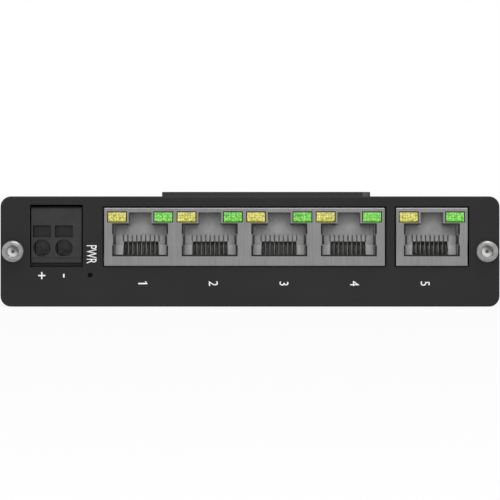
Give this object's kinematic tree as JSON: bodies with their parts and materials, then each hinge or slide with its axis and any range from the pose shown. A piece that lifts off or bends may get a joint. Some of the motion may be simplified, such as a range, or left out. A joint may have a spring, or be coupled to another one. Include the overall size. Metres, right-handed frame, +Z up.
{
  "type": "din rail ethernet switch",
  "caption": "Slim black metal network switch with a row of shielded jacks and a power terminal on its front, and a hook bracket with a sprung latch for a rail behind.",
  "frame": {"origin": "centre of the box on its underside", "axes": "+X along the front panel to the right, +Y into the depth so that the front panel looks along -Y, +Z up through the thickness"},
  "size_m": [0.113, 0.0762, 0.0262],
  "materials": {
    "housing": "fine-grained matt black coat",
    "panel": "flat matt black coat",
    "bracket": "satin black coat on folded steel",
    "screw_steel": "turned, nickel-plated",
    "spring_steel": "drawn wire",
    "latch_plastic": "moulded, fine texture",
    "port_shield": "rolled sheet, nickel-plated",
    "port_insert": "moulded black",
    "contact_carrier": "moulded, light grey",
    "white_print": "screen-printed ink",
    "contact_metal": "plated spring wire",
    "yellow_lens": "diffusing lens",
    "green_lens": "diffusing lens",
    "plug_plastic": "moulded, fine texture",
    "clamp_steel": "blued spring steel",
    "clear_rod": "clear moulded rod",
    "board": "green solder mask",
    "black_package": "moulded component",
    "ferrite": "ferrite",
    "can_metal": "drawn can",
    "pin_metal": "tinned brass",
    "ceramic": "ceramic body"
  },
  "bodies": {
    "case": {"housing_shell": "housing", "front_panel": "panel", "rear_panel": "panel", "front_panel_screws": "screw_steel", "rear_panel_screws": "screw_steel", "main_board": "board", "port_bank_shield": "port_shield", "port_bank_body": "port_insert", "port_5_shield": "port_shield", "port_5_body": "port_insert", "power_plug_body": "plug_plastic", "power_plug_levers": "plug_plastic", "power_plug_clamps": "clamp_steel", "power_plug_sockets": "pin_metal", "power_header": "plug_plastic", "power_header_pins": "pin_metal", "power_light_guide": "clear_rod", "power_light": "green_lens", "switch_chip": "black_package", "line_transformers": "black_package", "clock_crystal": "can_metal", "power_inductor": "ferrite", "filter_capacitors": "can_metal", "input_fuse": "ceramic", "surge_suppressor": "black_package", "rail_bracket": "bracket", "bracket_screws": "screw_steel", "latch_rivets": "screw_steel", "latch_spring": "spring_steel", "earth_screw": "screw_steel", "earth_washer": "screw_steel", "port_1_contact_carrier": "contact_carrier", "port_1_contacts": "contact_metal", "port_1_yellow_light": "yellow_lens", "port_1_green_light": "green_lens", "port_2_contact_carrier": "contact_carrier", "port_2_contacts": "contact_metal", "port_2_yellow_light": "yellow_lens", "port_2_green_light": "green_lens", "port_3_contact_carrier": "contact_carrier", "port_3_contacts": "contact_metal", "port_3_yellow_light": "yellow_lens", "port_3_green_light": "green_lens", "port_4_contact_carrier": "contact_carrier", "port_4_contacts": "contact_metal", "port_4_yellow_light": "yellow_lens", "port_4_green_light": "green_lens", "port_5_contact_carrier": "contact_carrier", "port_5_contacts": "contact_metal", "port_5_yellow_light": "yellow_lens", "port_5_green_light": "green_lens"},
    "latch": {"rail_latch": "latch_plastic"}
  },
  "joints": [
    {"name": "latch_slide", "type": "slide", "parent": "case", "child": "latch", "axis": [-1, 0, 0], "range_m": [0, 0.004], "stiffness_N_per_m": 500, "springref_m": -0.004, "deforming": ["latch_spring"]}
  ]
}
